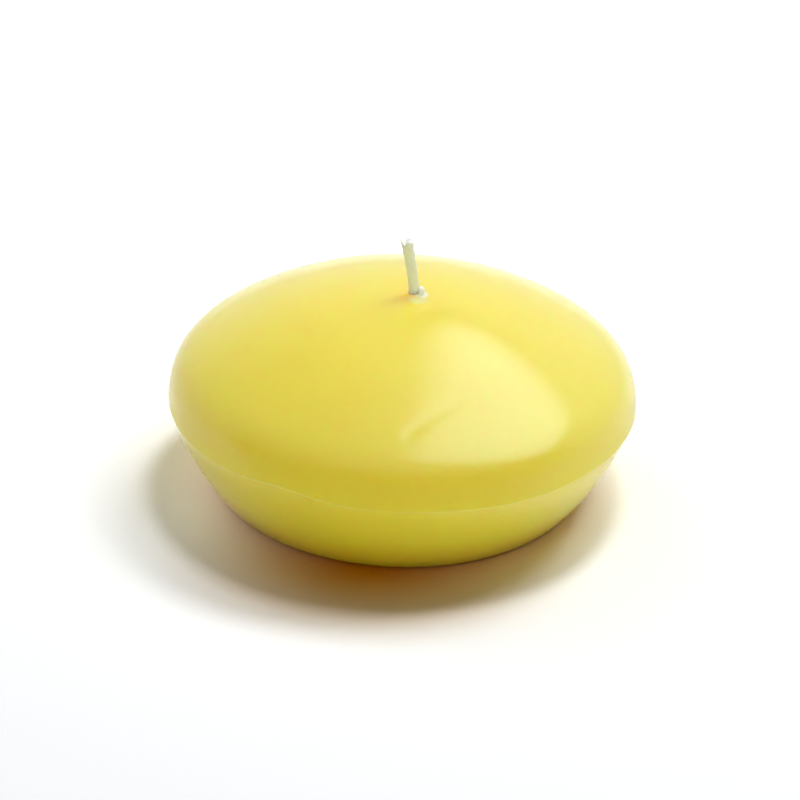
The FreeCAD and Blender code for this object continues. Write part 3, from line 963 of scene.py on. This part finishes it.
def seen_rays(tree):
    """1 for rays that look at a thing, straight, mirrored or through glass, and 0 for those that light it."""
    paths = node(tree, "ShaderNodeLightPath").outputs
    looking = combine(tree, "MAXIMUM", paths["Is Camera Ray"], paths["Is Glossy Ray"])
    return combine(tree, "MAXIMUM", looking, paths["Is Transmission Ray"])


def white_floor():
    """The white table: a wide plane that keeps the candle's shadow, and has a painted shadow with a warm glow
    by the candle's foot where it is looked at.
    """
    half = FLOOR_HALF
    corners = [(-half, -half, 0), (half, -half, 0), (half, half, 0), (-half, half, 0)]
    floor = new_mesh("floor", corners, [(0, 1, 2, 3)])
    material, tree, shader = new_material("white_table")
    tree.nodes.remove(shader)
    lighting = node(tree, "ShaderNodeBsdfDiffuse", {"Color": (*FLOOR_LIGHTING, 1.0)})
    seen = node(tree, "ShaderNodeBsdfDiffuse")
    # painted shadow and warm glow: by the candle's foot the seen colour turns dark orange
    moved = [-place / size for place, size in zip(PAINTED_SHADOW_PLACE, PAINTED_SHADOW_SIZE)] + [0]
    painted_shadow_spot = mapped(tree, object_place(tree), (1 / PAINTED_SHADOW_SIZE[0], 1 / PAINTED_SHADOW_SIZE[1], 0), moved)
    near = fade(tree, measure(tree, "LENGTH", painted_shadow_spot), 1.0, 0.0)
    link(tree, blend(tree, near, FLOOR_SEEN, FLOOR_PAINTED_SHADOW_GLOW), seen.inputs["Color"])
    surface = tree.nodes["Material Output"].inputs["Surface"]
    mix_shaders(tree, seen_rays(tree), lighting.outputs["BSDF"], seen.outputs["BSDF"], surface)
    floor.data.materials.append(material)


def seen_in_gloss_alone(piece):
    """Hides a piece of the studio from all but glossy rays."""
    piece.visible_camera = False
    piece.visible_diffuse = False
    piece.visible_shadow = False


def key_panel():
    """A five-sided soft box whose sides fade, some gently and one almost at once."""
    ways = [direction(*corner) for corner in KEY_CORNERS]
    middle = sum(ways, Vector()).normalized()
    corners = [way * (KEY_DISTANCE / way.dot(middle)) for way in ways]
    material = bpy.data.materials.new("key_light")
    material.use_nodes = True
    tree = material.node_tree
    tree.nodes.clear()
    place = object_place(tree)
    # it dims from the side between its second and third corners to its last corner
    axis = ((corners[1] + corners[2]) / 2 - corners[4]).normalized()
    depth = measure(tree, "DOT_PRODUCT", place, axis)
    glow = fade(tree, depth, axis.dot(corners[4]), axis.dot(corners[1]), *KEY_DIMMING, kind="LINEAR")
    for k, fading in enumerate(KEY_FADES):
        along = corners[(k + 1) % len(corners)] - corners[k]
        inward = middle.cross(along).normalized()
        if inward.dot(middle * KEY_DISTANCE - corners[k]) < 0:
            inward = -inward
        edge = inward.dot(corners[k])
        depth = measure(tree, "DOT_PRODUCT", place, inward)
        side = fade(tree, depth, edge - fading / 2, edge + fading / 2)
        glow = combine(tree, "MULTIPLY", glow, side)
    light = node(tree, "ShaderNodeEmission", {"Color": (*KEY_COLOUR, 1.0)})
    link(tree, combine(tree, "MULTIPLY", glow, KEY_STRENGTH), light.inputs["Strength"])
    output = node(tree, "ShaderNodeOutputMaterial")
    link(tree, light.outputs["Emission"], output.inputs["Surface"])
    grown = [middle * KEY_DISTANCE + (corner - middle * KEY_DISTANCE) * KEY_MARGIN for corner in corners]
    panel = new_mesh("key_panel", grown, [tuple(range(len(grown)))])
    panel.data.materials.append(material)
    seen_in_gloss_alone(panel)


def black_flag():
    """A curved dark screen, clearer upward, which darkens the shoulder's reflections towards the edge."""
    points = []
    for bearing in np.linspace(*FLAG_BEARINGS, FLAG_COLUMNS + 1):
        for height in np.linspace(*FLAG_HEIGHTS, FLAG_ROWS + 1):
            points.append(direction(bearing, height) * FLAG_DISTANCE)
    faces = []
    for k in range(FLAG_COLUMNS):
        here = k * (FLAG_ROWS + 1)
        there = here + FLAG_ROWS + 1
        faces += [(here + h, there + h, there + 1 + h, here + 1 + h) for h in range(FLAG_ROWS)]
    flag = new_mesh("black_flag", points, faces)
    material, tree, shader = new_material("black_net")
    set_inputs(shader, {"Base Color": (0.02, 0.02, 0.02, 1.0), "Roughness": 0.9, "Specular IOR Level": 0.1})
    up = node(tree, "ShaderNodeVectorMath", operation="NORMALIZE")
    link(tree, object_place(tree), up.inputs[0])
    low, high = (math.sin(math.radians(height)) for height in FLAG_CLEARS)
    clear = fade(tree, height_of(tree, up.outputs["Vector"]), low, high)
    gap = node(tree, "ShaderNodeBsdfTransparent")
    surface = tree.nodes["Material Output"].inputs["Surface"]
    mix_shaders(tree, clear, shader.outputs["BSDF"], gap.outputs["BSDF"], surface)
    flag.data.materials.append(material)
    seen_in_gloss_alone(flag)


def add_lamp(bearing, height, width, level):
    """A square lamp that faces the candle and leaves no highlight of its own."""
    data = bpy.data.lights.new("lamp", "AREA")
    data.size = width
    data.energy = level * (math.pi * LAMP_DISTANCE) ** 2
    lamp = bpy.data.objects.new("lamp", data)
    way = direction(bearing, height)
    lamp.location = way * LAMP_DISTANCE
    lamp.rotation_mode = "QUATERNION"
    lamp.rotation_quaternion = way.to_track_quat("Z", "Y")
    lamp.visible_glossy = False
    bpy.context.scene.collection.objects.link(lamp)
    return lamp


def studio_lamps():
    """The lamps, and the fill that lights the candle's own pieces."""
    for lamp in LAMPS:
        add_lamp(*lamp)
    candle = bpy.data.collections.new("candle")
    for piece in (wax, wick, tab):
        candle.objects.link(piece)
    add_lamp(*FILL).light_linking.receiver_collection = candle


def studio_world():
    """White to rays that look at it; as light, a room that shines from the left and a little from above."""
    world = bpy.data.worlds.new("studio")
    bpy.context.scene.world = world
    world.use_nodes = True
    tree = world.node_tree
    tree.nodes.clear()
    place = node(tree, "ShaderNodeTexCoord").outputs["Generated"]
    facing = combine(tree, "MAXIMUM", measure(tree, "DOT_PRODUCT", place, WORLD_SIDE), 0.0)
    lit = node(tree, "ShaderNodeBackground")
    link(tree, combine(tree, "MULTIPLY", facing, WORLD_STRENGTH), lit.inputs["Strength"])
    seen = node(tree, "ShaderNodeBackground", {"Color": (1, 1, 1, 1), "Strength": 1.0})
    surface = node(tree, "ShaderNodeOutputWorld").inputs["Surface"]
    mix_shaders(tree, seen_rays(tree), lit.outputs["Background"], seen.outputs["Background"], surface)


white_floor()
key_panel()
black_flag()
studio_lamps()
studio_world()
bpy.context.scene.view_settings.view_transform = "Standard"
